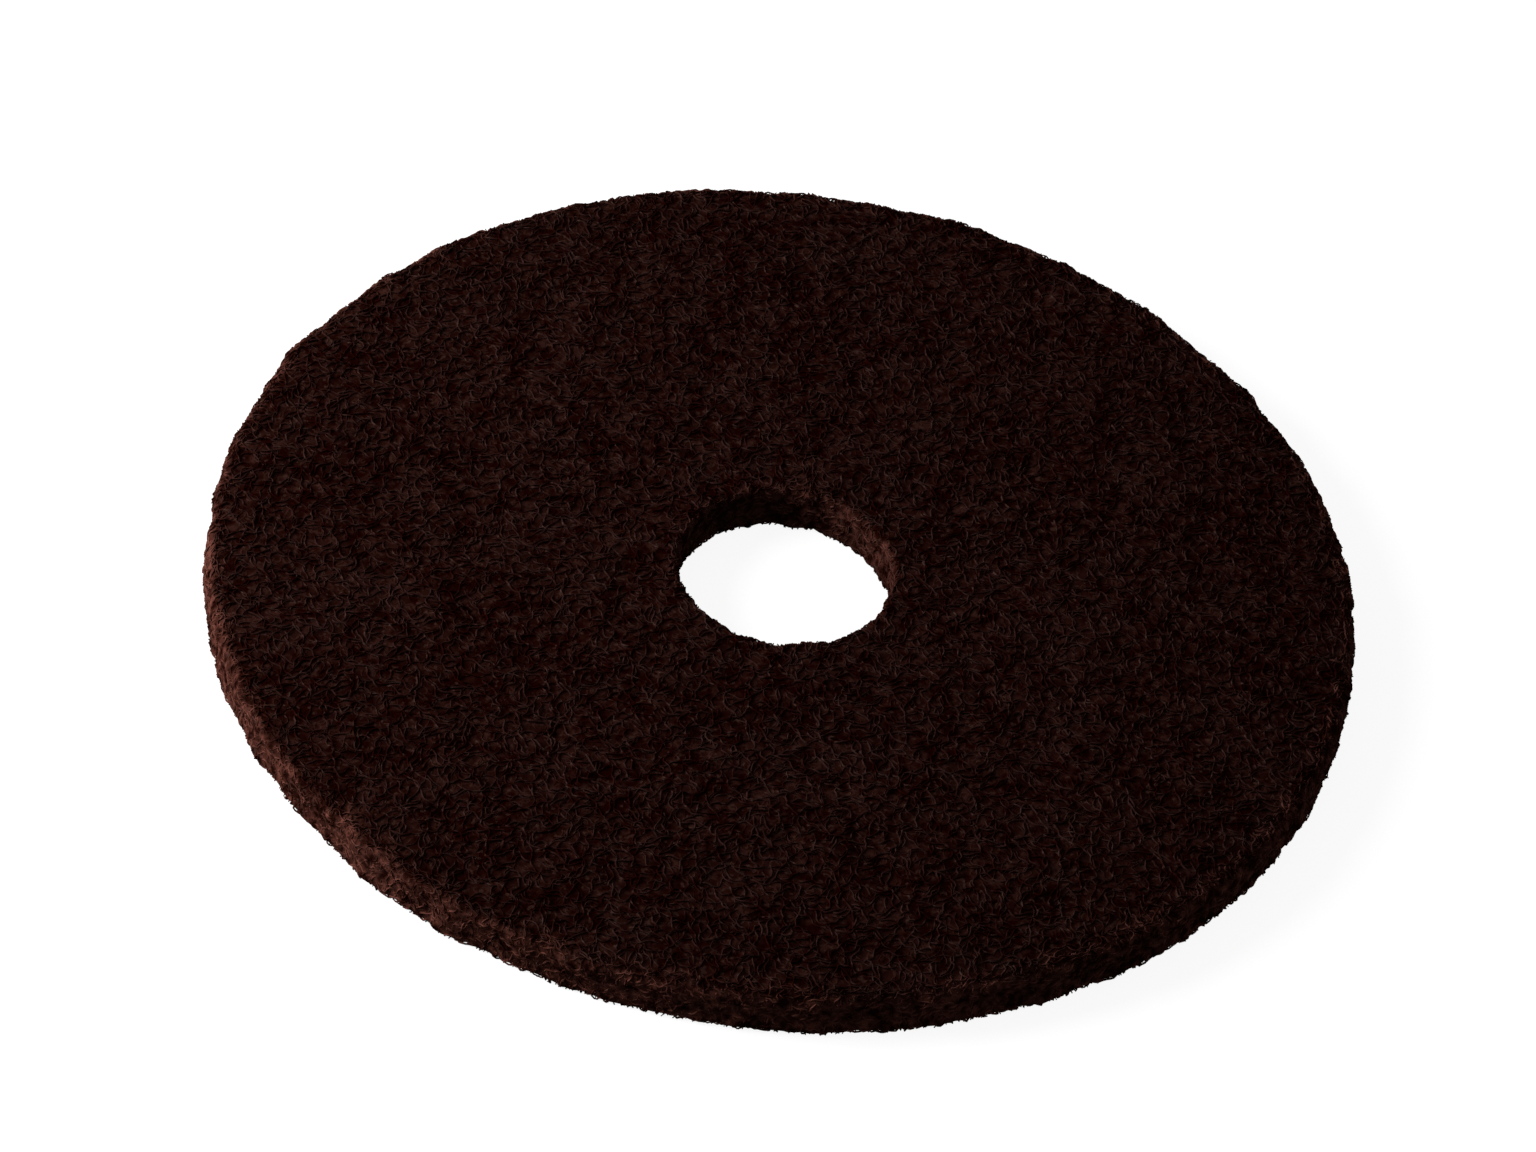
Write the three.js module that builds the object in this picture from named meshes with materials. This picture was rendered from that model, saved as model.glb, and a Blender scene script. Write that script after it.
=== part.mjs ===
// Floor polishing pad: a round disc of nonwoven fibre web with an open centre hole, cut in one
// blow of a die. Millimetres, +Z up. The origin is the centre of the underside, on the hole's axis.
import * as THREE from 'three';

// Sizes of the pad
const padDiameter = 432;
const holeDiameter = 80;
const padThickness = 20;

// The cut walls: the die presses the top edges over, and the web draws in between the two faces
const rimArris = 6;
const holeArris = 3.2;
const bottomArris = 1.8;
const cutDish = 0.9;

// The cut is ragged, because the die pushes whole tufts of fibre in or out
const rimTuft = 14;
const rimRag = 1.5;
const holeTuft = 9;
const holeRag = 0.8;
const ownShare = 0.4; // of the raggedness that the top and the bottom edge each have by themselves
const tuftStep = 0.55; // of a tuft's length, over which one tuft passes into the next

// The blow also presses the top face down towards the rim
const rimPress = 0.9;
const rimPressWidth = 13;

// The faces are plane, with shallow hollows where the web is thinner
const hollowDepth = 0.9;
const hollowPitch = 24;
const hollowWaves = 7;

// Facets
const faceFacet = 10;
const rimFacet = 4.9;
const holeFacet = 4.7;
const arrisRows = 3;
const wallRows = 3;

// Random numbers from 0 to 1, the same in each run
function randomFrom(seed) {
  let state = seed;
  return () => {
    state = (state * 1664525 + 1013904223) % 4294967296;
    return state / 4294967296;
  };
}

// How far a cut edge stands in or out, as a function of the turn from 0 to 1 round the pad.
// Each tuft of fibre along the cut has one offset and passes smoothly into its neighbours.
function raggedEdge(diameter, tuftLength, seed) {
  const random = randomFrom(seed);
  const count = Math.round((Math.PI * diameter) / tuftLength);
  const tufts = [];
  for (let i = 0; i < count; i++) {
    tufts.push({ turn: (i + 0.5 * random()) / count, offset: 2 * random() - 1 });
  }
  const tuftAt = (i) => {
    const { turn, offset } = tufts[(i + count) % count];
    return { turn: turn + Math.floor(i / count), offset };
  };
  const halfStep = (0.5 * tuftStep) / count;
  return (turn) => {
    const next = tufts.findIndex((tuft) => tuft.turn > turn);
    const i = next < 0 ? count : next;
    const before = tuftAt(i - 1);
    const after = tuftAt(i);
    const middle = (before.turn + after.turn) / 2;
    const share = THREE.MathUtils.smoothstep(turn, middle - halfStep, middle + halfStep);
    return THREE.MathUtils.lerp(before.offset, after.offset, share);
  };
}

// The radius of a cut wall at a turn and a height: both edges share most of their raggedness
function cutWall(diameter, tuftLength, rag, seed) {
  const shared = raggedEdge(diameter, tuftLength, seed);
  const ownBottom = raggedEdge(diameter, tuftLength, seed + 1);
  const ownTop = raggedEdge(diameter, tuftLength, seed + 2);
  return (turn, height) => {
    const own = THREE.MathUtils.lerp(ownBottom(turn), ownTop(turn), height / padThickness);
    return diameter / 2 + rag * ((1 - ownShare) * shared(turn) + ownShare * own);
  };
}

const rimWall = cutWall(padDiameter, rimTuft, rimRag, 11);
const holeWall = cutWall(holeDiameter, holeTuft, holeRag, 29);

// Section of a cut wall from top to bottom: a rounded arris, the dished wall, and the lower arris.
// Inset is how far a point lies from the cut, into the web, and edgeHeight is the top edge's.
function cutSection(edgeHeight, topArris) {
  const section = [];
  for (let row = 0; row < arrisRows; row++) {
    const angle = ((Math.PI / 2) * row) / arrisRows;
    section.push({
      inset: topArris * (1 - Math.sin(angle)),
      height: edgeHeight - topArris * (1 - Math.cos(angle)),
    });
  }
  const wallHeight = edgeHeight - topArris - bottomArris;
  for (let row = 0; row <= wallRows; row++) {
    const share = row / wallRows;
    section.push({
      inset: cutDish * Math.sin(Math.PI * share),
      height: edgeHeight - topArris - wallHeight * share,
    });
  }
  for (let row = 1; row <= arrisRows; row++) {
    const angle = ((Math.PI / 2) * row) / arrisRows;
    section.push({
      inset: bottomArris * (1 - Math.cos(angle)),
      height: bottomArris * (1 - Math.sin(angle)),
    });
  }
  return section;
}

// Depth of the web's hollows at a place on a face: low waves in seeded directions are added up,
// and only what lies below their mean is hollow, so that about half of the face stays plane
function hollows(seed) {
  const random = randomFrom(seed);
  const waves = [];
  for (let i = 0; i < hollowWaves; i++) {
    const angle = Math.PI * ((i + random()) / hollowWaves);
    const pitch = hollowPitch * (0.7 + 0.6 * random());
    waves.push({
      x: (2 * Math.PI * Math.cos(angle)) / pitch,
      y: (2 * Math.PI * Math.sin(angle)) / pitch,
      phase: 2 * Math.PI * random(),
    });
  }
  return (x, y) => {
    let sum = 0;
    for (const wave of waves) {
      sum += Math.cos(wave.x * x + wave.y * y + wave.phase);
    }
    return hollowDepth * THREE.MathUtils.clamp(sum / Math.sqrt(hollowWaves), 0, 1);
  };
}

const vertices = [];
const triangles = [];

// A ring of points round the axis. start is how far the first is turned, in steps of the ring,
// and place gives each point's radius and height from its turn and angle.
function addRing(meanRadius, facet, start, place) {
  const count = Math.round((2 * Math.PI * meanRadius) / facet);
  const ring = [];
  for (let i = 0; i < count; i++) {
    const turn = (i + start) / count;
    const angle = 2 * Math.PI * turn;
    const { radius, height } = place(turn, angle);
    ring.push({ turn, index: vertices.length / 3 });
    vertices.push(radius * Math.cos(angle), radius * Math.sin(angle), height);
  }
  return ring;
}

// A band of triangles between two rings, which may have different numbers of points
function stitch(ringA, ringB) {
  const turnOf = (ring, i) => ring[i % ring.length].turn + Math.floor(i / ring.length);
  const indexOf = (ring, i) => ring[i % ring.length].index;
  let a = 0;
  let b = 0;
  while (a < ringA.length || b < ringB.length) {
    const stepA = b === ringB.length || (a < ringA.length && turnOf(ringA, a + 1) < turnOf(ringB, b + 1));
    const third = stepA ? indexOf(ringA, a + 1) : indexOf(ringB, b + 1);
    triangles.push(indexOf(ringA, a), indexOf(ringB, b), third);
    a += stepA ? 1 : 0;
    b += stepA ? 0 : 1;
  }
}

// The rings of a face between the edges of the hole and the rim, from the hole outwards.
// upward is 1 on the top and -1 on the underside. The face sinks by press at the rim, by a square law.
function faceRings(plane, innerArris, outerArris, press, upward, seed) {
  const hollowAt = hollows(seed);
  const inner = (turn) => holeWall(turn, plane) + innerArris;
  const outer = (turn) => rimWall(turn, plane) - outerArris;
  const innerRadius = holeDiameter / 2 + innerArris;
  const outerRadius = padDiameter / 2 - outerArris;
  const bands = Math.round((outerRadius - innerRadius) / faceFacet);
  const rings = [];
  for (let band = 1; band < bands; band++) {
    const share = band / bands;
    const meanRadius = THREE.MathUtils.lerp(innerRadius, outerRadius, share);
    rings.push(addRing(meanRadius, faceFacet, (band % 2) / 2, (turn, angle) => {
      const radius = THREE.MathUtils.lerp(inner(turn), outer(turn), share);
      const hollow = hollowAt(radius * Math.cos(angle), radius * Math.sin(angle));
      const near = Math.max(0, 1 - (outer(turn) - radius) / rimPressWidth);
      return { radius, height: plane - upward * (hollow + press * near ** 2) };
    }));
  }
  return rings;
}

// The rings of a cut wall from top to bottom. intoWeb is -1 on the rim and 1 in the hole.
function wallRings(diameter, wall, edgeHeight, topArris, facet, intoWeb) {
  return cutSection(edgeHeight, topArris).map(({ inset, height }) =>
    addRing(diameter / 2, facet, 0, (turn) => ({
      radius: wall(turn, height) + intoWeb * inset,
      height,
    })));
}

// The whole skin in one closed run: top face outwards, rim downwards, underside inwards, hole upwards
function polishingPadGeometry() {
  const rings = [
    ...faceRings(padThickness, holeArris, rimArris, rimPress, 1, 41),
    ...wallRings(padDiameter, rimWall, padThickness - rimPress, rimArris, rimFacet, -1),
    ...faceRings(0, bottomArris, bottomArris, 0, -1, 53).reverse(),
    ...wallRings(holeDiameter, holeWall, padThickness, holeArris, holeFacet, 1).reverse(),
  ];
  rings.forEach((ring, i) => stitch(ring, rings[(i + 1) % rings.length]));
  const geometry = new THREE.BufferGeometry();
  geometry.setAttribute('position', new THREE.Float32BufferAttribute(vertices, 3));
  geometry.setIndex(triangles);
  geometry.computeVertexNormals();
  return geometry;
}

// Dark brown resin-bonded fibre, fully matt
const fibreWeb = new THREE.MeshStandardMaterial({ color: '#1b0c09', roughness: 0.95, metalness: 0 });

const polishingPad = new THREE.Mesh(polishingPadGeometry(), fibreWeb);
polishingPad.name = 'polishing_pad';

const floorPolishingPad = new THREE.Group();
floorPolishingPad.add(polishingPad);

export default floorPolishingPad;
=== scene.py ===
import math

import bpy
import numpy as np
from mathutils import Matrix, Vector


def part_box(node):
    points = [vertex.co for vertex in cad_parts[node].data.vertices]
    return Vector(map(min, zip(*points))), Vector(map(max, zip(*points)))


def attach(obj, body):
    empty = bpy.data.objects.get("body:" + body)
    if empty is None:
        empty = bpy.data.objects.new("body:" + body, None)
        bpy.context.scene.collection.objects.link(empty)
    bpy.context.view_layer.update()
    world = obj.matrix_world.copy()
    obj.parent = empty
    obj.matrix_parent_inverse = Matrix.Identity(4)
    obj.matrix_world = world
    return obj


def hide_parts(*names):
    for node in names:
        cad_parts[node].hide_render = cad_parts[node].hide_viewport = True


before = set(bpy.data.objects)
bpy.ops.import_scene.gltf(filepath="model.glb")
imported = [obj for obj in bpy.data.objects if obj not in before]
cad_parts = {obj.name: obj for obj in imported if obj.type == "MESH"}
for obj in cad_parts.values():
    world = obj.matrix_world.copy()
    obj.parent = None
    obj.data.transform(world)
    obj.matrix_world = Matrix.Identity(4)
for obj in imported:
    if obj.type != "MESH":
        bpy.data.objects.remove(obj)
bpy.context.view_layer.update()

# A round floor pad of dark brown fibre web, lying on a white floor. Lengths are in metres.

mm = 0.001
fullTurn = 2 * math.pi


# Shared numbers, curves and noise

lattice = {
    "primes": np.array([73856093, 19349663, 83492791]),
    "seedStep": 9781,
    "mixer": 1274126177,
    "levels": 65535,
}


# Random values from -1 to 1 on a cubic lattice of the given pitch, blended between the eight
# corners of each cell with the smooth step 3t^2 - 2t^3. A corner's value is a hash: its three whole
# numbers times one prime each are added up and mixed by shifts and a product.
def latticeNoise(points, pitch, seed):
    cell = points / pitch
    corner = np.floor(cell).astype(np.int64)
    share = cell - corner
    share = share * share * (3 - 2 * share)
    total = np.zeros(points.shape[:-1])
    for bits in range(8):
        step = np.array([bits & 1, bits >> 1 & 1, bits >> 2 & 1])
        key = (corner + step) @ lattice["primes"] + seed * lattice["seedStep"]
        key = (key ^ key >> 13) * lattice["mixer"]
        value = ((key ^ key >> 16) & lattice["levels"]) / (lattice["levels"] / 2) - 1
        total += value * np.prod(np.where(step, share, 1 - share), axis=-1)
    return total


def smoothStep(low, high, value):
    share = np.clip((value - low) / (high - low), 0, 1)
    return share * share * (3 - 2 * share)


def unit(vectors):
    return vectors / np.maximum(np.linalg.norm(vectors, axis=-1, keepdims=True), 1e-12)


# A mesh object from arrays: points, triangles, one UV pair for each triangle corner, and named
# values for each point. The map's name keeps it in the export.
def meshPiece(name, points, triangles, cornerUv, pointValues):
    mesh = bpy.data.meshes.new(name)
    mesh.vertices.add(len(points))
    mesh.vertices.foreach_set("co", points.astype(np.float32).ravel())
    mesh.loops.add(3 * len(triangles))
    mesh.loops.foreach_set("vertex_index", triangles.astype(np.int32).ravel())
    mesh.polygons.add(len(triangles))
    mesh.polygons.foreach_set("loop_start", np.arange(0, 3 * len(triangles), 3, dtype=np.int32))
    mesh.polygons.foreach_set("use_smooth", np.ones(len(triangles), bool))
    if cornerUv is not None:
        layer = mesh.uv_layers.new(name="OFBake")
        layer.uv.foreach_set("vector", cornerUv.astype(np.float32).ravel())
    for valueName, values in pointValues.items():
        attribute = mesh.attributes.new(valueName, "FLOAT", "POINT")
        attribute.data.foreach_set("value", values.astype(np.float32).ravel())
    mesh.update(calc_edges=True)
    mesh.validate()
    piece = bpy.data.objects.new(name, mesh)
    bpy.context.scene.collection.objects.link(piece)
    return piece


# Joins what is given to a node's inputs: a socket is linked, and a number or colour is set.
def feed(tree, node, values):
    for name, value in values.items():
        if isinstance(value, bpy.types.NodeSocket):
            tree.links.new(value, node.inputs[name])
        else:
            node.inputs[name].default_value = value
    return node


def mathNode(tree, operation, first, second):
    node = tree.nodes.new("ShaderNodeMath")
    node.operation = operation
    return feed(tree, node, {0: first, 1: second}).outputs[0]


# The pad's form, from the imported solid

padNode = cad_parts["polishing_pad"]
padLow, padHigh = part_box("polishing_pad")

form = {
    "rimArris": 6 * mm,        # the die presses the top edges over
    "holeArris": 3.2 * mm,
    "bottomArris": 1.8 * mm,
    "arcStep": 2,              # degrees
    "sampleStep": 0.25 * mm,   # along the section
    "flatShare": 0.999,        # upright share of the normal, above which the section is a face
    "skinTurns": 720,
    "skinRows": 384,
    "reach": 5 * mm,           # how far the solid may lie from the plain section
    "blurTurns": 2,            # softens the solid's facets
    "blurRows": 2,
    "lumpPitch": 5.5 * mm,     # tufts of web that stand up or sink
    "lumpHeight": 0.16 * mm,
    "lumpSeed": 3,
    "ragPitch": 5 * mm,        # shorter raggedness of the cut walls
    "ragHeight": 1.05 * mm,
    "ragSeed": 4,
    "wallShape": (0.3, 0.9),   # sideways share of the normal, from no raggedness to all of it
    "wallColour": (0.25, 0.95),  # and from the faces' colours to the cut walls'
    "wallPatchPitch": 8 * mm,
    "wallPatchSeed": 5,
    "wallPatch": 0.42,
    "wallSpill": 0.45,         # how far the cut walls' colours reach on to the faces
    "wallSpillWidth": 8 * mm,
    "holeWall": 0.5,           # how far the hole's wall takes the cut walls' colours
}


# Mean radius of the rim and of the hole: the largest and smallest radius in each of a few dozen
# sectors of the solid, averaged round the pad.
def solidRadii(sectors=48):
    points = np.empty(3 * len(padNode.data.vertices))
    padNode.data.vertices.foreach_get("co", points)
    x, y, _ = points.reshape(-1, 3).T
    radius = np.hypot(x, y)
    sector = ((np.arctan2(y, x) / fullTurn % 1) * sectors).astype(int) % sectors
    rim = np.zeros(sectors)
    hole = np.full(sectors, radius.max())
    np.maximum.at(rim, sector, radius)
    np.minimum.at(hole, sector, radius)
    return rim.mean(), hole.mean()


rimRadius, holeRadius = solidRadii()
padTop = padHigh.z


# The pad's section as a closed run in radius and height: top face outwards, rounded arris, rim
# down, lower arris, underside inwards, and the same up the hole. Returns its length, and at even
# steps the distance along it, the radius, the height, and the sideways and upright parts of the
# outward normal, which is the run's direction turned a quarter left.
def padSection():
    rim, hole, bottom = form["rimArris"], form["holeArris"], form["bottomArris"]

    def arc(centreR, centreZ, radius, start):
        angle = np.radians(start - np.arange(0, 90, form["arcStep"]))
        return np.stack([centreR + radius * np.cos(angle), centreZ + radius * np.sin(angle)], 1)

    corners = np.concatenate([
        arc(rimRadius - rim, padTop - rim, rim, 90),
        arc(rimRadius - bottom, padLow.z + bottom, bottom, 0),
        arc(holeRadius + bottom, padLow.z + bottom, bottom, -90),
        arc(holeRadius + hole, padTop - hole, hole, 180),
    ])
    corners = np.roll(corners, 1, axis=0)
    corners = np.concatenate([corners, corners[:1]])
    length = np.concatenate([[0], np.cumsum(np.linalg.norm(np.diff(corners, axis=0), axis=1))])
    count = round(length[-1] / form["sampleStep"])
    along = np.arange(count) * length[-1] / count
    radius, height = (np.interp(along, length, corners[:, axis]) for axis in (0, 1))
    runR, runZ = (np.roll(value, -1) - np.roll(value, 1) for value in (radius, height))
    normal = unit(np.stack([-runZ, runR], 1))
    return {"length": length[-1], "along": along, "radius": radius, "height": height,
            "sideways": normal[:, 0], "upright": normal[:, 1]}


section = padSection()


# One value of the section at any distance along it, going round and round.
def sectionValue(along, name):
    return np.interp(along, section["along"], section[name], period=section["length"])


# Distances along the section at which its parts start and end.
def sectionMarks():
    along = section["along"]
    flat = np.abs(section["upright"]) > form["flatShare"]
    upper = section["height"] > (padTop + padLow.z) / 2
    face = (along[flat & upper].min(), along[flat & upper].max())
    under = (along[flat & ~upper].min(), along[flat & ~upper].max())
    return {
        "top": face,
        "rim": (face[1], under[0]),
        "base": under,
        "hole": (under[1], section["length"]),
    }


marks = sectionMarks()


# Triangles of a grid of points that closes on itself both ways, as two for each cell.
def ringTriangles(turns, rows):
    i, j = np.meshgrid(np.arange(turns), np.arange(rows), indexing="ij")
    after, below = (i + 1) % turns, (j + 1) % rows
    a, b, c, d = i * rows + j, i * rows + below, after * rows + below, after * rows + j
    return np.stack([a, b, c, a, c, d], -1).reshape(-1, 3)


# How far a place on a face lies from the face's edge, and 0 on the walls.
def fromEdge(along):
    along = along % section["length"]
    inside = [np.minimum(along - start, end - along) for start, end in (marks["top"], marks["base"])]
    return np.maximum(np.maximum(*inside), 0)


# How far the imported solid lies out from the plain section: a sheet of the plain places is projected
# on the solid along their normals, and its offset is blurred over a few cells.
def solidOffset(plain, outward):
    sheet = meshPiece("skinProbe", plain.reshape(-1, 3), ringTriangles(*plain.shape[:2]), None, {})
    wrap = sheet.modifiers.new("wrap", "SHRINKWRAP")
    wrap.target = padNode
    wrap.wrap_method = "PROJECT"
    wrap.use_negative_direction = True
    wrap.project_limit = form["reach"]
    wrapped = sheet.evaluated_get(bpy.context.evaluated_depsgraph_get()).data
    found = np.empty(plain.size)
    wrapped.vertices.foreach_get("co", found)
    offset = ((found.reshape(plain.shape) - plain) * outward).sum(-1)
    bpy.data.objects.remove(sheet)
    for axis, reach in ((0, form["blurTurns"]), (1, form["blurRows"])):
        offset = sum(np.roll(offset, step, axis) for step in range(-reach, reach + 1)) / (2 * reach + 1)
    return offset


# The skin is a table of places and outward normals over turn and section: the plain section swept
# round, moved along its normals by the solid's offset, by lumps of web on the faces and by short
# raggedness of the cut walls.
def padSkin():
    turns, rows = form["skinTurns"], form["skinRows"]
    angle = fullTurn * np.arange(turns)[:, None] / turns
    along = section["length"] * np.arange(rows)[None, :] / rows
    radius, height, sideways, upright = (
        sectionValue(along, name) for name in ("radius", "height", "sideways", "upright"))
    ones = np.ones_like(angle)
    plain = np.stack([np.cos(angle) * radius, np.sin(angle) * radius, ones * height], -1)
    outward = np.stack([np.cos(angle) * sideways, np.sin(angle) * sideways, ones * upright], -1)
    offset = solidOffset(plain, outward)
    wall = smoothStep(*form["wallShape"], np.abs(sideways)) * ones
    lumps = latticeNoise(plain, form["lumpPitch"], form["lumpSeed"])
    rags = latticeNoise(plain, form["ragPitch"], form["ragSeed"])
    offset += form["lumpHeight"] * lumps * (1 - wall)
    offset += form["ragHeight"] * rags * wall
    places = plain + outward * offset[..., None]
    acrossTurns = np.roll(places, -1, 0) - np.roll(places, 1, 0)
    acrossRows = np.roll(places, -1, 1) - np.roll(places, 1, 1)
    return np.concatenate([places, unit(np.cross(acrossRows, acrossTurns))], -1)


skin = padSkin()


# Places and normals of the skin at any turn and distance along the section: the four nearest
# entries of the table, weighted by how near they are.
def onSkin(turn, along):
    turns, rows = skin.shape[:2]
    u, v = turn % 1 * turns, along / section["length"] % 1 * rows
    i, j = np.floor(u).astype(int), np.floor(v).astype(int)
    shareU, shareV = (u - i)[..., None], (v - j)[..., None]
    i, j, nextI, nextJ = i % turns, j % rows, (i + 1) % turns, (j + 1) % rows
    near = skin[i, j] * (1 - shareV) + skin[i, nextJ] * shareV
    far = skin[nextI, j] * (1 - shareV) + skin[nextI, nextJ] * shareV
    found = near * (1 - shareU) + far * shareU
    return found[..., :3], unit(found[..., 3:])


# How much a place belongs to a cut wall, from 0 on the faces to 1 on the rim and in the hole.
# It is the sideways share of the normal or, on the faces, a spill that dies away exponentially from
# the edge, plus lattice noise times its square root for patches, through a smooth step. The hole's
# wall takes less of it.
def wallShare(along, places):
    patches = form["wallPatch"] * latticeNoise(places, form["wallPatchPitch"], form["wallPatchSeed"])
    spill = form["wallSpill"] * np.exp(-fromEdge(along) / form["wallSpillWidth"])
    sideways = np.maximum(np.abs(sectionValue(along, "sideways")), spill)
    inHole = np.hypot(places[..., 0], places[..., 1]) < (rimRadius + holeRadius) / 2
    most = np.where(inHole, form["holeWall"], 1)
    return most * smoothStep(*form["wallColour"], sideways + patches * np.sqrt(sideways))


print(f"form: rim {rimRadius:.4f} m, hole {holeRadius:.4f} m, section {section['length']:.4f} m")


# Camera and light

view = {
    "distance": 11.01,         # in rim radii, from the fit of the photographed outline
    "elevation": 44.3,         # degrees
    "roll": 7.62,
    "aim": (-0.0285, 0.0415),  # right and up of the pad's centre, in rim radii
    "lens": 148.6,             # mm
    "sensor": 36,
    "clipEnd": 50,             # m
}


def photoCamera():
    tilt, roll = math.radians(view["elevation"]), math.radians(view["roll"])
    back = np.array([0, -math.cos(tilt), math.sin(tilt)])
    right = np.array([1.0, 0, 0])
    up = np.cross(back, right)
    aim = (view["aim"][0] * right + view["aim"][1] * up) * rimRadius
    place = aim + view["distance"] * rimRadius * back
    turnedRight = math.cos(roll) * right + math.sin(roll) * up
    turnedUp = math.cos(roll) * up - math.sin(roll) * right
    camera = bpy.data.objects.new("photoCamera", bpy.data.cameras.new("photoCamera"))
    camera.data.lens = view["lens"]
    camera.data.sensor_width = view["sensor"]
    camera.data.clip_end = view["clipEnd"]
    matrix = np.eye(4)
    matrix[:3, 0], matrix[:3, 1], matrix[:3, 2], matrix[:3, 3] = turnedRight, turnedUp, back, place
    camera.matrix_world = Matrix(matrix.tolist())
    bpy.context.scene.collection.objects.link(camera)
    bpy.context.scene.camera = camera


studio = {
    "keyAzimuth": 180,         # from the camera's left
    "keyElevation": 24,
    "keyDistance": 1.45,
    "keySize": 1.1,
    "keyPower": 53,
    "fill": 0.29,
    "worldWhite": 0.955,       # what shows behind the floor
    "floorWhite": 0.90,        # what the floor shows by itself
    "floorLit": 0.18,          # what it shows by the light that falls on it
    "floorBounce": 0.12,       # how much of the light it throws back on the pad
    "floorSize": 30,
}


def keyLamp():
    azimuth, tilt = math.radians(studio["keyAzimuth"]), math.radians(studio["keyElevation"])
    direction = np.array([math.cos(tilt) * math.cos(azimuth), math.cos(tilt) * math.sin(azimuth),
                          math.sin(tilt)])
    lamp = bpy.data.lights.new("keyLamp", "AREA")
    lamp.shape = "DISK"
    lamp.size = studio["keySize"]
    lamp.energy = studio["keyPower"]
    holder = bpy.data.objects.new("keyLamp", lamp)
    holder.location = direction * studio["keyDistance"]
    holder.rotation_euler = (0, math.radians(90 - studio["keyElevation"]), azimuth)
    bpy.context.scene.collection.objects.link(holder)


# One value that is 1 for rays from the camera, from gloss and through glass, and 0 for others.
def seenRays(tree):
    path = tree.nodes.new("ShaderNodeLightPath").outputs
    either = mathNode(tree, "MAXIMUM", path["Is Camera Ray"], path["Is Glossy Ray"])
    return mathNode(tree, "MAXIMUM", either, path["Is Transmission Ray"])


def studioWorld():
    world = bpy.data.worlds.new("studio")
    world.use_nodes = True
    tree = world.node_tree
    strength = feed(tree, tree.nodes.new("ShaderNodeMapRange"),
                    {"Value": seenRays(tree), "To Min": studio["fill"], "To Max": studio["worldWhite"]})
    feed(tree, tree.nodes["Background"],
         {"Color": (1, 1, 1, 1), "Strength": strength.outputs["Result"]})
    bpy.context.scene.world = world


# The floor shows its own white plus some of the light that falls on it, and for all other rays it
# is a plain dark grey.
def floorMaterial():
    material = bpy.data.materials.new("paleFloor")
    material.use_nodes = True
    tree = material.node_tree
    nodes = tree.nodes
    nodes.remove(nodes["Principled BSDF"])

    def grey(share):
        return feed(tree, nodes.new("ShaderNodeBsdfDiffuse"), {"Color": (share, share, share, 1)})

    glow = feed(tree, nodes.new("ShaderNodeEmission"), {"Strength": studio["floorWhite"]})
    lit = grey(studio["floorLit"])
    bounce = grey(studio["floorBounce"])
    shown = feed(tree, nodes.new("ShaderNodeAddShader"), {0: glow.outputs[0], 1: lit.outputs[0]})
    choice = feed(tree, nodes.new("ShaderNodeMixShader"),
                  {"Fac": seenRays(tree), 1: bounce.outputs[0], 2: shown.outputs[0]})
    feed(tree, nodes["Material Output"], {"Surface": choice.outputs[0]})
    return material


def paleFloor():
    half = studio["floorSize"] / 2
    mesh = bpy.data.meshes.new("paleFloor")
    mesh.from_pydata([(-half, -half, 0), (half, -half, 0), (half, half, 0), (-half, half, 0)], [],
                     [(0, 1, 2, 3)])
    mesh.materials.append(floorMaterial())
    floor = bpy.data.objects.new("paleFloor", mesh)
    bpy.context.scene.collection.objects.link(floor)


photoCamera()
keyLamp()
studioWorld()
paleFloor()
bpy.context.scene.view_settings.view_transform = "Standard"
print("camera, lamp, world and floor are set")


# Effects that the materials share

# A node group with named inputs, given as name: default, and named outputs, given as name: kind.
def newGroup(name, inputs, outputs):
    group = bpy.data.node_groups.new(name, "ShaderNodeTree")
    for socketName, default in inputs.items():
        kind = "NodeSocketColor" if isinstance(default, tuple) else "NodeSocketFloat"
        socket = group.interface.new_socket(socketName, in_out="INPUT", socket_type=kind)
        socket.default_value = (*default, 1) if isinstance(default, tuple) else default
    for socketName, kind in outputs.items():
        group.interface.new_socket(socketName, in_out="OUTPUT", socket_type=kind)
    start, end = group.nodes.new("NodeGroupInput"), group.nodes.new("NodeGroupOutput")
    return group, start.outputs, end.inputs


def noiseNode(tree, place, scale, detail):
    node = tree.nodes.new("ShaderNodeTexNoise")
    return feed(tree, node, {"Vector": place, "Scale": scale, "Detail": detail}).outputs["Fac"]


def mixColour(tree, share, first, second):
    node = tree.nodes.new("ShaderNodeMix")
    node.data_type = "RGBA"
    feed(tree, node, {"Factor": share})
    sockets = {socket.identifier: socket for socket in node.inputs}
    for identifier, value in (("A_Color", first), ("B_Color", second)):
        if isinstance(value, bpy.types.NodeSocket):
            tree.links.new(value, sockets[identifier])
        else:
            sockets[identifier].default_value = (*value, 1)
    return next(socket for socket in node.outputs if socket.identifier == "Result_Color")


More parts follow.
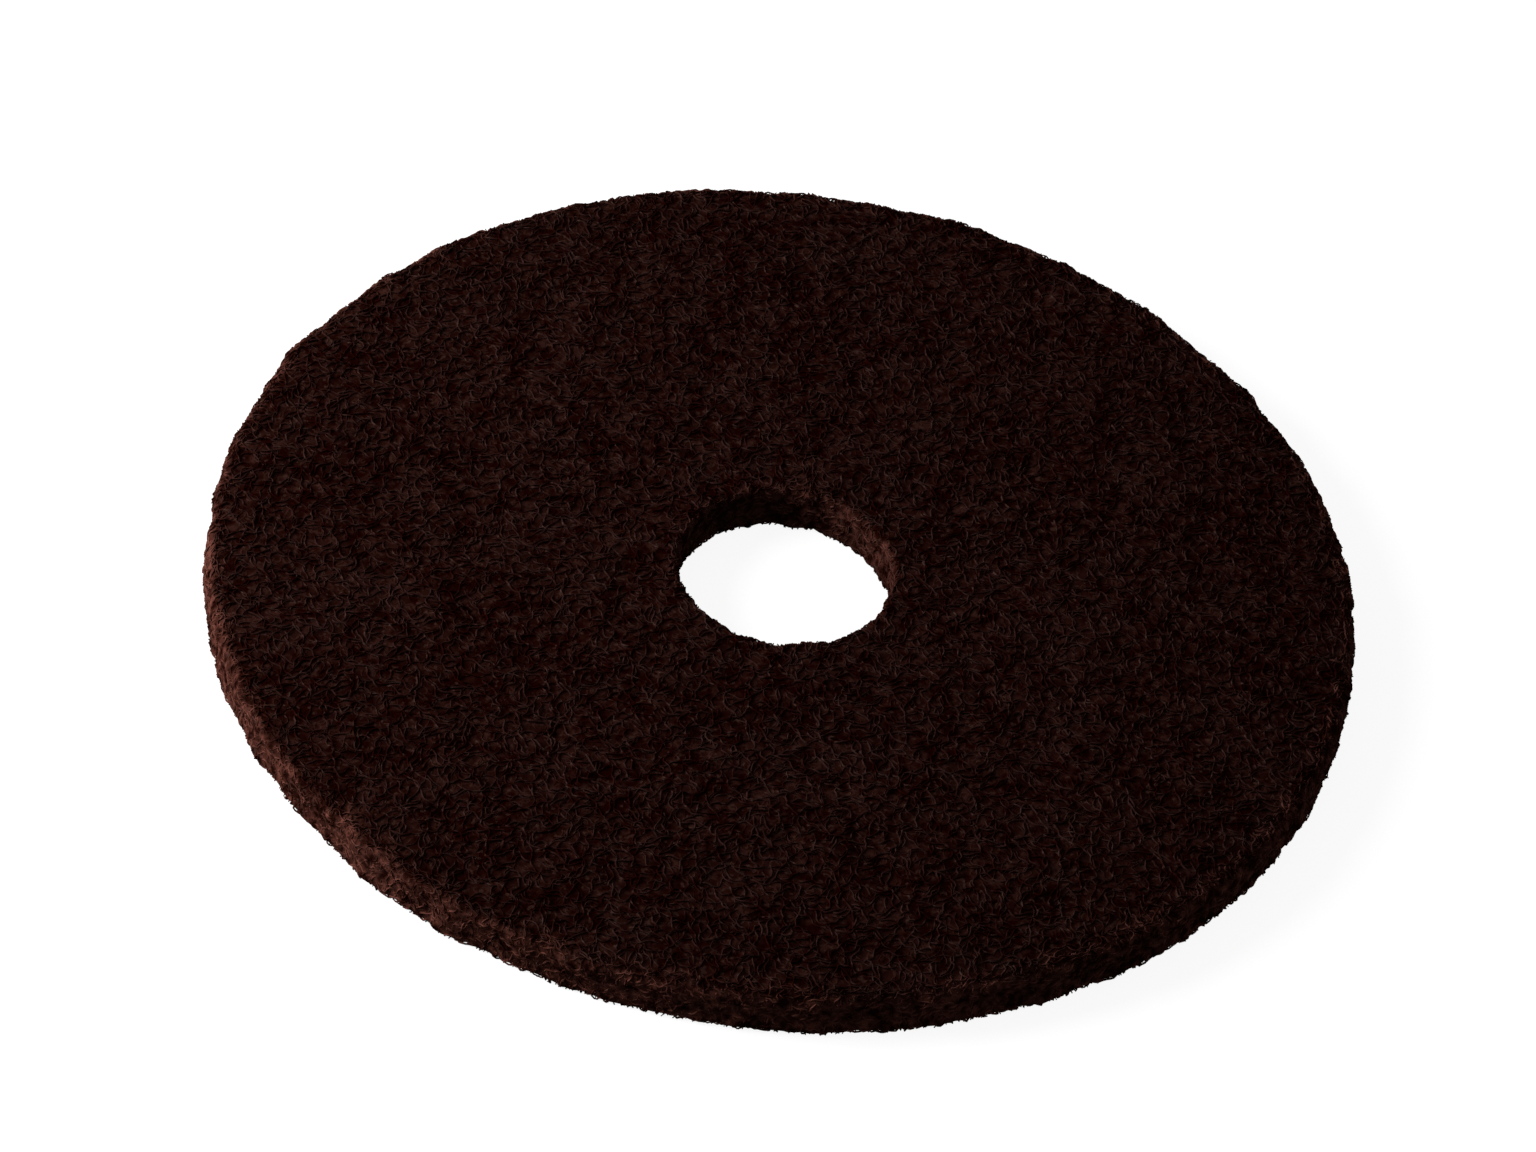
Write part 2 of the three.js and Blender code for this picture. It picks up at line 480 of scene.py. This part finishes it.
# Tone of the web from place to place: three noises for wide patches, tufts and grain, each
# spread round zero by its own amount, added to one half.
def webToneGroup():
    group, given, wanted = newGroup(
        "webTone",
        {"Patch Scale": 28.0, "Patch Amount": 0.72, "Tuft Scale": 140.0, "Tuft Amount": 1.6,
         "Grain Scale": 290.0, "Grain Amount": 2.9},
        {"Tone": "NodeSocketFloat"})
    place = group.nodes.new("ShaderNodeTexCoord").outputs["Object"]
    total = 0.5
    for name in ("Patch", "Tuft", "Grain"):
        noise = noiseNode(group, place, given[name + " Scale"], 1.0)
        spread = mathNode(group, "MULTIPLY", mathNode(group, "SUBTRACT", noise, 0.5),
                          given[name + " Amount"])
        total = mathNode(group, "ADD", spread, total)
    clamp = group.nodes.new("ShaderNodeClamp")
    group.links.new(total, clamp.inputs["Value"])
    group.links.new(clamp.outputs[0], wanted["Tone"])
    return group


# Resin grain on the fibres and painted glints: fine noise for the height, a few pale flecks where a
# second noise is high, which are painted highlights, and roughness that falls on the flecks.
def resinGrainAndGlintGroup():
    group, given, wanted = newGroup(
        "resinGrainAndGlint",
        {"Grain Scale": 1500.0, "Fleck Scale": 520.0, "Fleck Level": 0.66, "Fleck Fade": 0.08,
         "Roughness": 0.6, "Fleck Gloss": 0.15},
        {"Height": "NodeSocketFloat", "Painted Glint": "NodeSocketFloat", "Roughness": "NodeSocketFloat"})
    place = group.nodes.new("ShaderNodeTexCoord").outputs["Object"]
    height = noiseNode(group, place, given["Grain Scale"], 2.0)
    spots = noiseNode(group, place, given["Fleck Scale"], 0.0)
    glint = group.nodes.new("ShaderNodeMapRange")
    glint.interpolation_type = "SMOOTHSTEP"
    feed(group, glint, {"Value": spots, "From Min": given["Fleck Level"],
                        "From Max": mathNode(group, "ADD", given["Fleck Level"], given["Fleck Fade"])})
    shine = mathNode(group, "MULTIPLY", glint.outputs[0], given["Fleck Gloss"])
    group.links.new(height, wanted["Height"])
    group.links.new(glint.outputs[0], wanted["Painted Glint"])
    group.links.new(mathNode(group, "SUBTRACT", given["Roughness"], shine), wanted["Roughness"])
    return group


# Strands of the web between the fibres that are built: the thin lines where a noise crosses one
# half, which wander like crimped fibre. The higher of two such noises is taken, the second finer.
def strandGroup():
    group, given, wanted = newGroup(
        "webStrands", {"Scale": 185.0, "Width": 0.07, "Detail": 0.7, "Distortion": 0.4},
        {"Strand": "NodeSocketFloat"})
    place = group.nodes.new("ShaderNodeTexCoord").outputs["Object"]
    highest = 0.0
    for slice4d, finer in ((0.0, 1.0), (5.0, 1.45)):
        noise = group.nodes.new("ShaderNodeTexNoise")
        noise.noise_dimensions = "4D"
        scale = mathNode(group, "MULTIPLY", given["Scale"], finer)
        feed(group, noise, {"Vector": place, "W": slice4d, "Scale": scale, "Detail": given["Detail"],
                            "Distortion": given["Distortion"]})
        away = mathNode(group, "SUBTRACT", noise.outputs["Fac"], 0.5)
        line = group.nodes.new("ShaderNodeMapRange")
        line.interpolation_type = "SMOOTHSTEP"
        feed(group, line, {"Value": mathNode(group, "ABSOLUTE", away, 0.0), "From Max": given["Width"],
                           "To Min": 1.0, "To Max": 0.0})
        highest = mathNode(group, "MAXIMUM", line.outputs[0], highest)
    group.links.new(highest, wanted["Strand"])
    return group


webTone = webToneGroup()
resinGrainAndGlint = resinGrainAndGlintGroup()
webStrands = strandGroup()


def groupNode(tree, group, values):
    node = tree.nodes.new("ShaderNodeGroup")
    node.node_tree = group
    return feed(tree, node, values).outputs


# Brown fibre: a dark and a light colour for the faces and for the cut walls, mixed by the web's
# tone plus each fibre's own, with pale flecks of painted highlight on top. Where strands are drawn,
# the tone between them is lowered to a share of its own, as painted shade of the web's depths.
def fibreMaterial(name, look):
    material = bpy.data.materials.new(name)
    material.use_nodes = True
    tree = material.node_tree
    shader = tree.nodes["Principled BSDF"]

    def value(attributeName):
        node = tree.nodes.new("ShaderNodeAttribute")
        node.attribute_name = attributeName
        return node.outputs["Fac"]

    tone = groupNode(tree, webTone, {})["Tone"]
    own = mathNode(tree, "MULTIPLY", value("ownTone"), look["ownTone"])
    share = mathNode(tree, "ADD", tone, own)
    grainAndGlint = groupNode(tree, resinGrainAndGlint, {"Roughness": look["roughness"]})
    height = grainAndGlint["Height"]
    # Between the drawn strands the tone is lowered: painted shade of the web's depths.
    if look["shadedGapTone"] < 1:
        strand = groupNode(tree, webStrands, {})["Strand"]
        shown = mathNode(tree, "MULTIPLY", strand, 1 - look["shadedGapTone"])
        share = mathNode(tree, "MULTIPLY", share, mathNode(tree, "ADD", shown, look["shadedGapTone"]))
        height = mathNode(tree, "ADD", strand, mathNode(tree, "MULTIPLY", height, look["grainHeight"]))
    wall = value("wall")
    face = mixColour(tree, share, look["faceDark"], look["faceLight"])
    cut = mixColour(tree, share, look["wallDark"], look["wallLight"])
    plain = mixColour(tree, wall, face, cut)
    glint = mathNode(tree, "MULTIPLY", grainAndGlint["Painted Glint"], look["paintedGlintShare"])
    colour = mixColour(tree, glint, plain, look["paintedGlintColour"])
    bump = feed(tree, tree.nodes.new("ShaderNodeBump"),
                {"Strength": look["bump"], "Distance": look["bumpDepth"], "Height": height})
    feed(tree, shader, {"Base Color": colour, "Roughness": grainAndGlint["Roughness"],
                        "Normal": bump.outputs[0], "Specular IOR Level": look["specular"]})
    return material


# The body of the web, which shows as the dark between the fibres, with painted shade between its
# strands

web = {
    "turns": 512,
    "faceStep": 2.35 * mm,
    "wallStep": 1.5 * mm,
    "faceDepth": 1.0 * mm,     # below the skin
    "wallDepth": 0.15 * mm,
    "pitPitch": 4.5 * mm,
    "pitDepth": 0.4 * mm,
    "pitSeed": 7,
    "pitLevels": (-0.5, 0.8),  # of the noise, from no pit to a whole one
    "wallLevels": (0.3, 1.0),  # sideways share of the normal, from the faces' depth to the walls'
    "ownTone": 0.0,
    # the darker tone between the strands is painted shade of the web's depths
    "shadedGapTone": 0.42,    # tone between the strands, as a share
    "grainHeight": 0.4,        # of the resin's grain, next to a strand's
    "faceDark": (0.0056, 0.0006, 0.0003),
    "faceLight": (0.0200, 0.0070, 0.0053),
    "wallDark": (0.0070, 0.0017, 0.0011),
    "wallLight": (0.0690, 0.0226, 0.0163),
    "roughness": 0.7,
    # the pale flecks are painted highlights: their share and colour
    "paintedGlintShare": 0.25,
    "paintedGlintColour": (0.050, 0.026, 0.020),
    "bump": 0.55,
    "bumpDepth": 0.4 * mm,
    "specular": 0.0,
}


# Rows along the section: even steps on the faces and finer ones on the arrises and walls.
def webRows():
    rows = []
    for part, step in (("top", "faceStep"), ("rim", "wallStep"), ("base", "faceStep"),
                       ("hole", "wallStep")):
        start, end = marks[part]
        count = round((end - start) / web[step])
        rows.append(start + (end - start) * np.arange(count) / count)
    return np.concatenate(rows)


# The web's surface lies below the skin by a depth that lattice noise deepens into pits. Its map
# runs once round the pad and once round the section.
def padWebPiece():
    along = webRows()
    turn = np.arange(web["turns"]) / web["turns"]
    turns, rows = len(turn), len(along)
    gridTurn, gridAlong = np.meshgrid(turn, along, indexing="ij")
    places, normals = onSkin(gridTurn, gridAlong)
    pits = smoothStep(*web["pitLevels"], latticeNoise(places, web["pitPitch"], web["pitSeed"]))
    wall = wallShare(gridAlong, places)
    sideways = smoothStep(*web["wallLevels"], np.abs(sectionValue(gridAlong, "sideways")))
    depth = web["faceDepth"] * (1 - sideways) + web["wallDepth"] * sideways + web["pitDepth"] * pits
    places = places - normals * depth[..., None]
    triangles = ringTriangles(turns, rows)
    u = (triangles // rows) / turns
    v = np.append(along, section["length"])[triangles % rows] / section["length"]
    u = np.where(u < u.max(1, keepdims=True) - 0.5, u + 1, u)
    v = np.where(v < v.max(1, keepdims=True) - 0.5, v + 1, v)
    return meshPiece("padWeb", places.reshape(-1, 3), triangles, np.stack([u, v], -1),
                     {"wall": wall, "ownTone": np.zeros(turns * rows)})


padWeb = padWebPiece()
padWeb.data.materials.append(fibreMaterial("deepWeb", web))
print(f"web: {len(padWeb.data.polygons)} triangles")


# The fibres that lie on the web

fibreLook = {
    "ownTone": 0.1,
    "shadedGapTone": 1.0,     # no strands are drawn
    "faceDark": (0.0078, 0.0011, 0.0007),
    "faceLight": (0.0192, 0.0081, 0.0066),
    "wallDark": (0.0140, 0.0034, 0.0023),
    "wallLight": (0.0840, 0.0295, 0.0217),
    "roughness": 0.62,
    # the pale flecks are painted highlights: their share and colour
    "paintedGlintShare": 0.2,
    "paintedGlintColour": (0.075, 0.043, 0.035),
    "bump": 0.4,
    "bumpDepth": 0.12 * mm,
    "specular": 0.0,
}

faceFibres = {
    "steps": 8,
    "step": 1.75 * mm,
    "thin": 0.29 * mm,         # radius of the thinnest and of the thickest fibre
    "thick": 0.50 * mm,
    "crimpPitch": 8 * mm,
    "crimpPitchSpread": (0.7, 1.5),
    "crimpTurn": 0.8,          # radians either way
    "crimpTurnSpread": (0.4, 1),
    "bend": 0.2,               # radians at each step
    "lift": -0.78 * mm,        # mean height of the fibre's centre over the skin
    "weave": 0.42 * mm,
    "weaveSpread": (0.5, 1),
    "weavePitch": 7 * mm,
    "weavePitchSpread": (0.7, 1.6),
    "endDip": 0.8 * mm,
    "dipPower": 4,
    "rise": 0.0,               # from one end to the other
    "riseSpread": (0.4, 1),
}
topFibres = {**faceFibres, "part": "top", "edge": 1.5 * mm, "pieces": 2, "count": 3900, "seed": 101}
baseFibres = {**faceFibres, "part": "base", "edge": 1.0 * mm, "pieces": 1, "count": 3900, "seed": 202,
              "step": 2.4 * mm, "weavePitch": 9 * mm, "lift": -0.72 * mm, "weave": 0.3 * mm}
rimFibres = {**faceFibres, "part": "rim", "edge": 0.0, "pieces": 1, "count": 2600, "seed": 303,
             "steps": 7, "step": 1.3 * mm, "crimpPitch": 5 * mm, "lift": -0.28 * mm,
             "weave": 0.3 * mm, "weavePitch": 5 * mm}
holeFibres = {**rimFibres, "part": "hole", "count": 520, "seed": 404}
rimEnds = {**rimFibres, "count": 3600, "seed": 505, "steps": 2, "step": 0.5 * mm, "lift": -0.45 * mm,
           "weave": 0.0, "endDip": 0.0, "rise": 1.5 * mm, "thin": 0.2 * mm, "thick": 0.3 * mm}
holeEnds = {**rimEnds, "part": "hole", "count": 700, "seed": 606}

goldenTurn = 0.6180339887
areaStations = 400             # along a part, for its area
fibreTube = {
    "corners": (90, 210, 330),  # degrees round the run
    "clearance": 0.02 * mm,    # above the floor
    "toneSpread": 2,           # own tone: this times a squared random number, less the shift
    "toneShift": 0.66,
    "cellLength": 3,           # of a cell in the map, in its widths
    "cellStart": 0.05,         # the tube's place in its cell, in shares
    "cellRun": 0.9,
    "cellCorners": np.array([0.12, 0.5, 0.88]),
}


# Routes of fibres over the skin. Their middles lie evenly, as seeds in a sunflower do: each is
# 0.618 of a turn past the one before and one equal share of the part's area further out. The
# heading is a start angle, plus a steady bend, plus a sine for the crimp. Summing its steps gives
# the distance along the section and the turn. Its height is a sine that dives at both ends by a
# power law, or for the cut ends a straight rise.
def fibreRoutes(plan, random):
    count, steps = plan["count"], plan["steps"]
    low, high = marks[plan["part"]]
    stations = np.linspace(low - plan["edge"], high + plan["edge"], areaStations)
    area = np.cumsum(sectionValue(stations, "radius"))
    order = np.arange(count)
    middleTurn = (order * goldenTurn + random.random()) % 1
    middleAlong = np.interp((order + random.random(count)) / count, area / area[-1], stations)
    k = np.arange(steps + 1)[None, :] - steps / 2

    def each(low, high):
        return random.uniform(low, high, count)[:, None]

    heading = each(0, fullTurn) + each(-plan["bend"], plan["bend"]) * k
    crimp = fullTurn * plan["step"] / (plan["crimpPitch"] * each(*plan["crimpPitchSpread"]))
    crimpTurn = each(*plan["crimpTurnSpread"]) * plan["crimpTurn"]
    heading = heading + crimpTurn * np.sin(crimp * k + each(0, fullTurn))
    stepAlong, stepAcross = plan["step"] * np.sin(heading), plan["step"] * np.cos(heading)
    along = np.cumsum(stepAlong, 1)
    along = middleAlong[:, None] + along - along[:, steps // 2][:, None]
    turn = np.cumsum(stepAcross / (fullTurn * sectionValue(along, "radius")), 1)
    turn = middleTurn[:, None] + turn - turn[:, steps // 2][:, None]
    wave = fullTurn * plan["step"] / (plan["weavePitch"] * each(*plan["weavePitchSpread"]))
    weave = plan["weave"] * each(*plan["weaveSpread"])
    lift = plan["lift"] + weave * np.sin(wave * k + each(0, fullTurn))
    lift = lift - plan["endDip"] * np.abs(2 * k / steps) ** plan["dipPower"]
    lift = lift + plan["rise"] * each(*plan["riseSpread"]) * k / steps
    return turn, along, lift


# Three-sided tubes along routes. At each station the side vector is the run crossed with the
# skin's normal, and three corners stand at even angles round the run. Each end is closed by one
# triangle. In the map each fibre has a cell of its own, its length across it.
def fibrePiece(name, plan, seed):
    random = np.random.default_rng(seed)
    turn, along, lift = fibreRoutes(plan, random)
    count, stations = turn.shape
    places, normals = onSkin(turn, along)
    places = places + normals * lift[..., None]
    run = unit(np.gradient(places, axis=1))
    side = unit(np.cross(run, normals))
    up = np.cross(side, run)
    radius = random.uniform(plan["thin"], plan["thick"], count)[:, None, None]
    corners = np.radians(fibreTube["corners"])
    points = np.stack([places + radius * (math.cos(a) * side + math.sin(a) * up) for a in corners], 2)
    points[..., 2] = np.maximum(points[..., 2], padLow.z + fibreTube["clearance"])
    first = (np.arange(count) * stations * 3)[:, None, None]
    k, c = np.meshgrid(np.arange(stations - 1), np.arange(3), indexing="ij")
    after = (c + 1) % 3
    a, b, d, e = k * 3 + c, k * 3 + after, (k + 1) * 3 + after, (k + 1) * 3 + c
    walls = np.stack([a, b, d, a, d, e], -1).reshape(-1, 3)
    ends = np.array([[0, 2, 1], [0, 1, 2]])
    ends[1] += (stations - 1) * 3
    pattern = np.concatenate([walls, ends])
    triangles = (pattern[None] + first).reshape(-1, 3)
    columns = math.ceil(math.sqrt(count / fibreTube["cellLength"]))
    rows = math.ceil(count / columns)
    lengthShare = fibreTube["cellStart"] + fibreTube["cellRun"] * (pattern // 3) / (stations - 1)
    cornerShare = fibreTube["cellCorners"][pattern % 3]
    index = np.arange(count)
    u = (index % columns)[:, None, None] + lengthShare[None]
    v = (index // columns)[:, None, None] + cornerShare[None]
    uv = np.stack([u / columns, v / rows], -1).reshape(-1, 2)
    ownTone = fibreTube["toneSpread"] * random.random(count) ** 2 - fibreTube["toneShift"]
    values = {"wall": np.repeat(wallShare(along, places).ravel(), 3),
              "ownTone": np.repeat(ownTone, stations * 3)}
    return meshPiece(name, points.reshape(-1, 3), triangles, uv, values)


fibreCoat = fibreMaterial("resinFibre", fibreLook)
fibrePieces = []
for baseName, plan in (("topFibres", topFibres), ("baseFibres", baseFibres), ("rimFibres", rimFibres),
                       ("holeFibres", holeFibres), ("rimEnds", rimEnds), ("holeEnds", holeEnds)):
    for number in range(plan["pieces"]):
        name = baseName if plan["pieces"] == 1 else f"{baseName}{number + 1}"
        piece = fibrePiece(name, plan, plan["seed"] + number)
        piece.data.materials.append(fibreCoat)
        fibrePieces.append(piece)
        print(f"{name}: {len(piece.data.polygons)} triangles")


# What each piece is, and how many triangles there are

for piece in (padWeb, *fibrePieces):
    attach(piece, "root")
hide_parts("polishing_pad")
total = sum(len(piece.data.polygons) for piece in (padWeb, *fibrePieces))
print(f"all pieces: {total} triangles")
